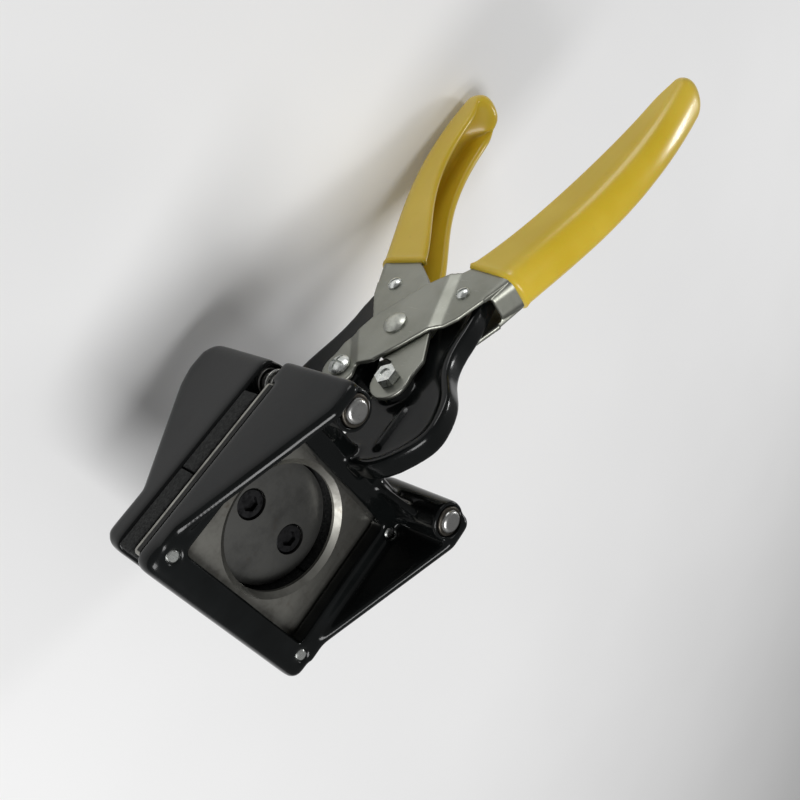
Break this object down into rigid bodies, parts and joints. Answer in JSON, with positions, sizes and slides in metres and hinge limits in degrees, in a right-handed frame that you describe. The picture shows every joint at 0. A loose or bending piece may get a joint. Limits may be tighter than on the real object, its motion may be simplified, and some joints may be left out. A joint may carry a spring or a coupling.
{
  "type": "circle cutting pliers",
  "caption": "Hand-held pliers that punch round paper discs for button badges: guided punch and die jaws closed by crossed levers with dipped grips.",
  "frame": {"origin": "centre of the die's cutting edge, on the face towards the punch", "axes": "+Z through the die, away from the punch; +X towards the nose of the jaws; +Y to the left seen from the grips"},
  "size_m": [0.2511, 0.077, 0.1151],
  "materials": {
    "black_casting": "glossy black enamel on a zinc die casting",
    "die_steel": "ground tool steel, faint circular and straight grinding marks",
    "punch_steel": "ground and darkened tool steel",
    "zinc_screws": "bright zinc plated",
    "dark_screws": "black oxide",
    "post_steel": "ground and polished",
    "bush_bronze": "turned bronze",
    "spring_steel": "drawn wire",
    "lever_steel": "pressed sheet steel with a warm grey plating",
    "rivet_steel": "domed and plated",
    "grip_yellow": "dipped soft PVC, semi-gloss yellow",
    "pad_foam": "dark cellular rubber, rough cut faces"
  },
  "bodies": {
    "punch_jaw": {"punch_carrier": "black_casting", "punch": "punch_steel", "punch_screws": "zinc_screws", "stripper_pad_front": "pad_foam", "stripper_pad_rear": "pad_foam", "guide_post_left": "post_steel", "guide_post_right": "post_steel", "return_spring_left": "spring_steel", "return_spring_right": "spring_steel", "lower_pivot_bolt": "zinc_screws", "lower_pivot_nut": "zinc_screws"},
    "die_jaw": {"die_carrier": "black_casting", "die_plate": "die_steel", "die_plate_screws": "dark_screws", "guide_bush_left": "bush_bronze", "guide_bush_right": "bush_bronze", "upper_pivot_bolt": "zinc_screws", "upper_pivot_nut": "zinc_screws"},
    "upper_lever": {"upper_lever_channel": "lever_steel", "upper_grip": "grip_yellow", "upper_slide_pin": "zinc_screws", "upper_slide_nut": "zinc_screws", "centre_rivet": "rivet_steel", "centre_spacer": "rivet_steel"},
    "lower_lever": {"lower_lever_channel": "lever_steel", "lower_grip": "grip_yellow", "lower_slide_pin": "zinc_screws", "lower_slide_nut": "zinc_screws"}
  },
  "joints": [
    {"name": "jaw_slide", "type": "slide", "parent": "punch_jaw", "child": "die_jaw", "axis": [0, 0, 1], "range_m": [-0.007, 0], "stiffness_N_per_m": 4000, "springref_m": 0.006, "deforming": ["return_spring_left", "return_spring_right", "stripper_pad_front", "stripper_pad_rear"]},
    {"name": "upper_lever_swing", "type": "hinge", "parent": "punch_jaw", "child": "upper_lever", "pos_m": [-0.059, 0, -0.0174], "axis": [0, -1, 0], "range_deg": [0, 9.2]},
    {"name": "lower_lever_swing", "type": "hinge", "parent": "die_jaw", "child": "lower_lever", "pos_m": [-0.059, 0, 0.009], "axis": [0, 1, 0], "range_deg": [0, 9.2]}
  ],
  "couplings": [
    {"joint": "upper_lever_swing", "follows": "jaw_slide", "rad_per_m": -22.767},
    {"joint": "lower_lever_swing", "follows": "jaw_slide", "rad_per_m": -22.767}
  ]
}
